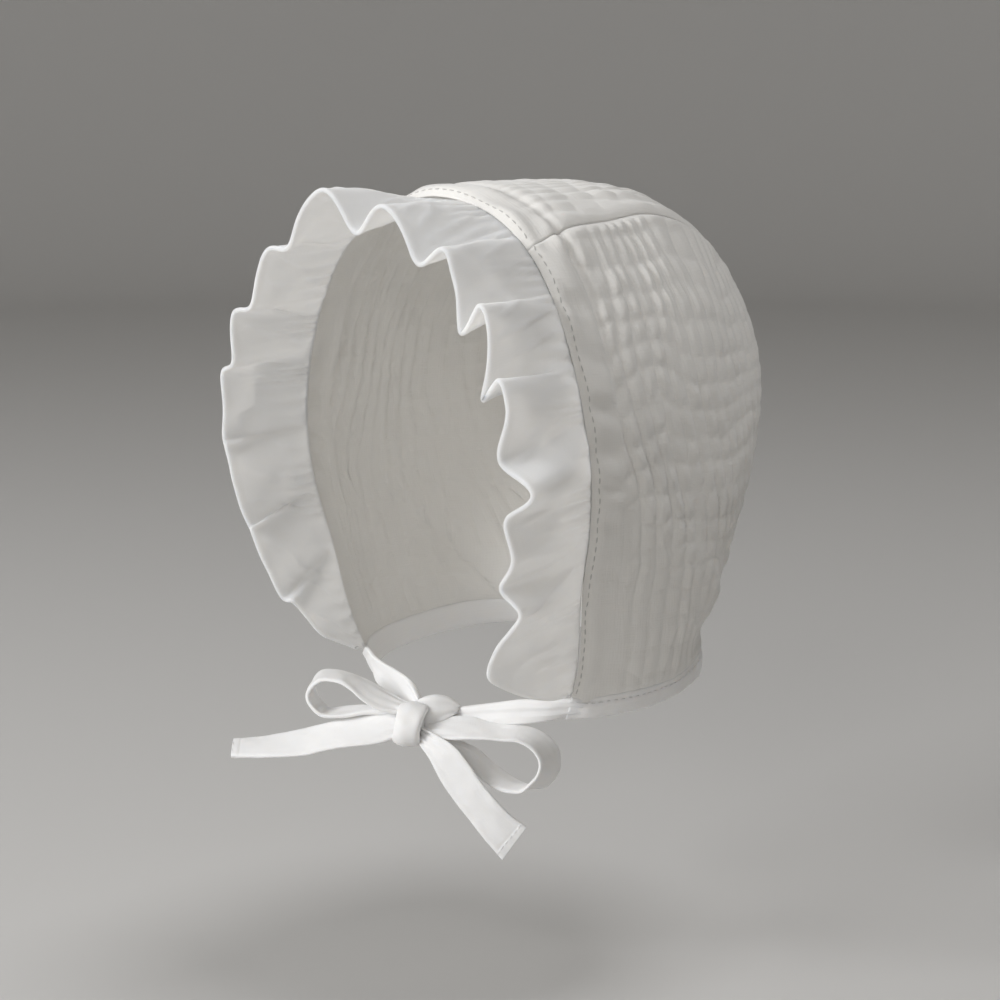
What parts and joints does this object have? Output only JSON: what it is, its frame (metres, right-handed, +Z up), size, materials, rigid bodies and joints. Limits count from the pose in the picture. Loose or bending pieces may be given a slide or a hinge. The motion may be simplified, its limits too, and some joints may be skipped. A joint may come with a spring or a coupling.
{
  "type": "baby bonnet",
  "caption": "Soft gauze baby bonnet with a hood, a fluted ruffle round the face, a bound neck edge and ties knotted in a bow under the chin.",
  "frame": {"origin": "the inside of the crown's top, where the bonnet sits on a head", "axes": "+Z up, -Y out of the face opening, +X towards the wearer's left"},
  "size_m": [0.1432, 0.1659, 0.2095],
  "materials": {
    "gauze": "crinkled white cotton double gauze",
    "ruffle_cotton": "smooth white cotton, two layers",
    "tie_cotton": "smooth white cotton band"
  },
  "bodies": {
    "root": {"centre_panel": "gauze", "side_panel_left": "gauze", "side_panel_right": "gauze", "ruffle": "ruffle_cotton", "neck_binding": "tie_cotton", "tie_left": "tie_cotton", "tie_right": "tie_cotton", "bow_knot": "tie_cotton", "bow_loop_left": "tie_cotton", "bow_loop_right": "tie_cotton", "bow_tail_left": "tie_cotton", "bow_tail_right": "tie_cotton"}
  },
  "joints": []
}
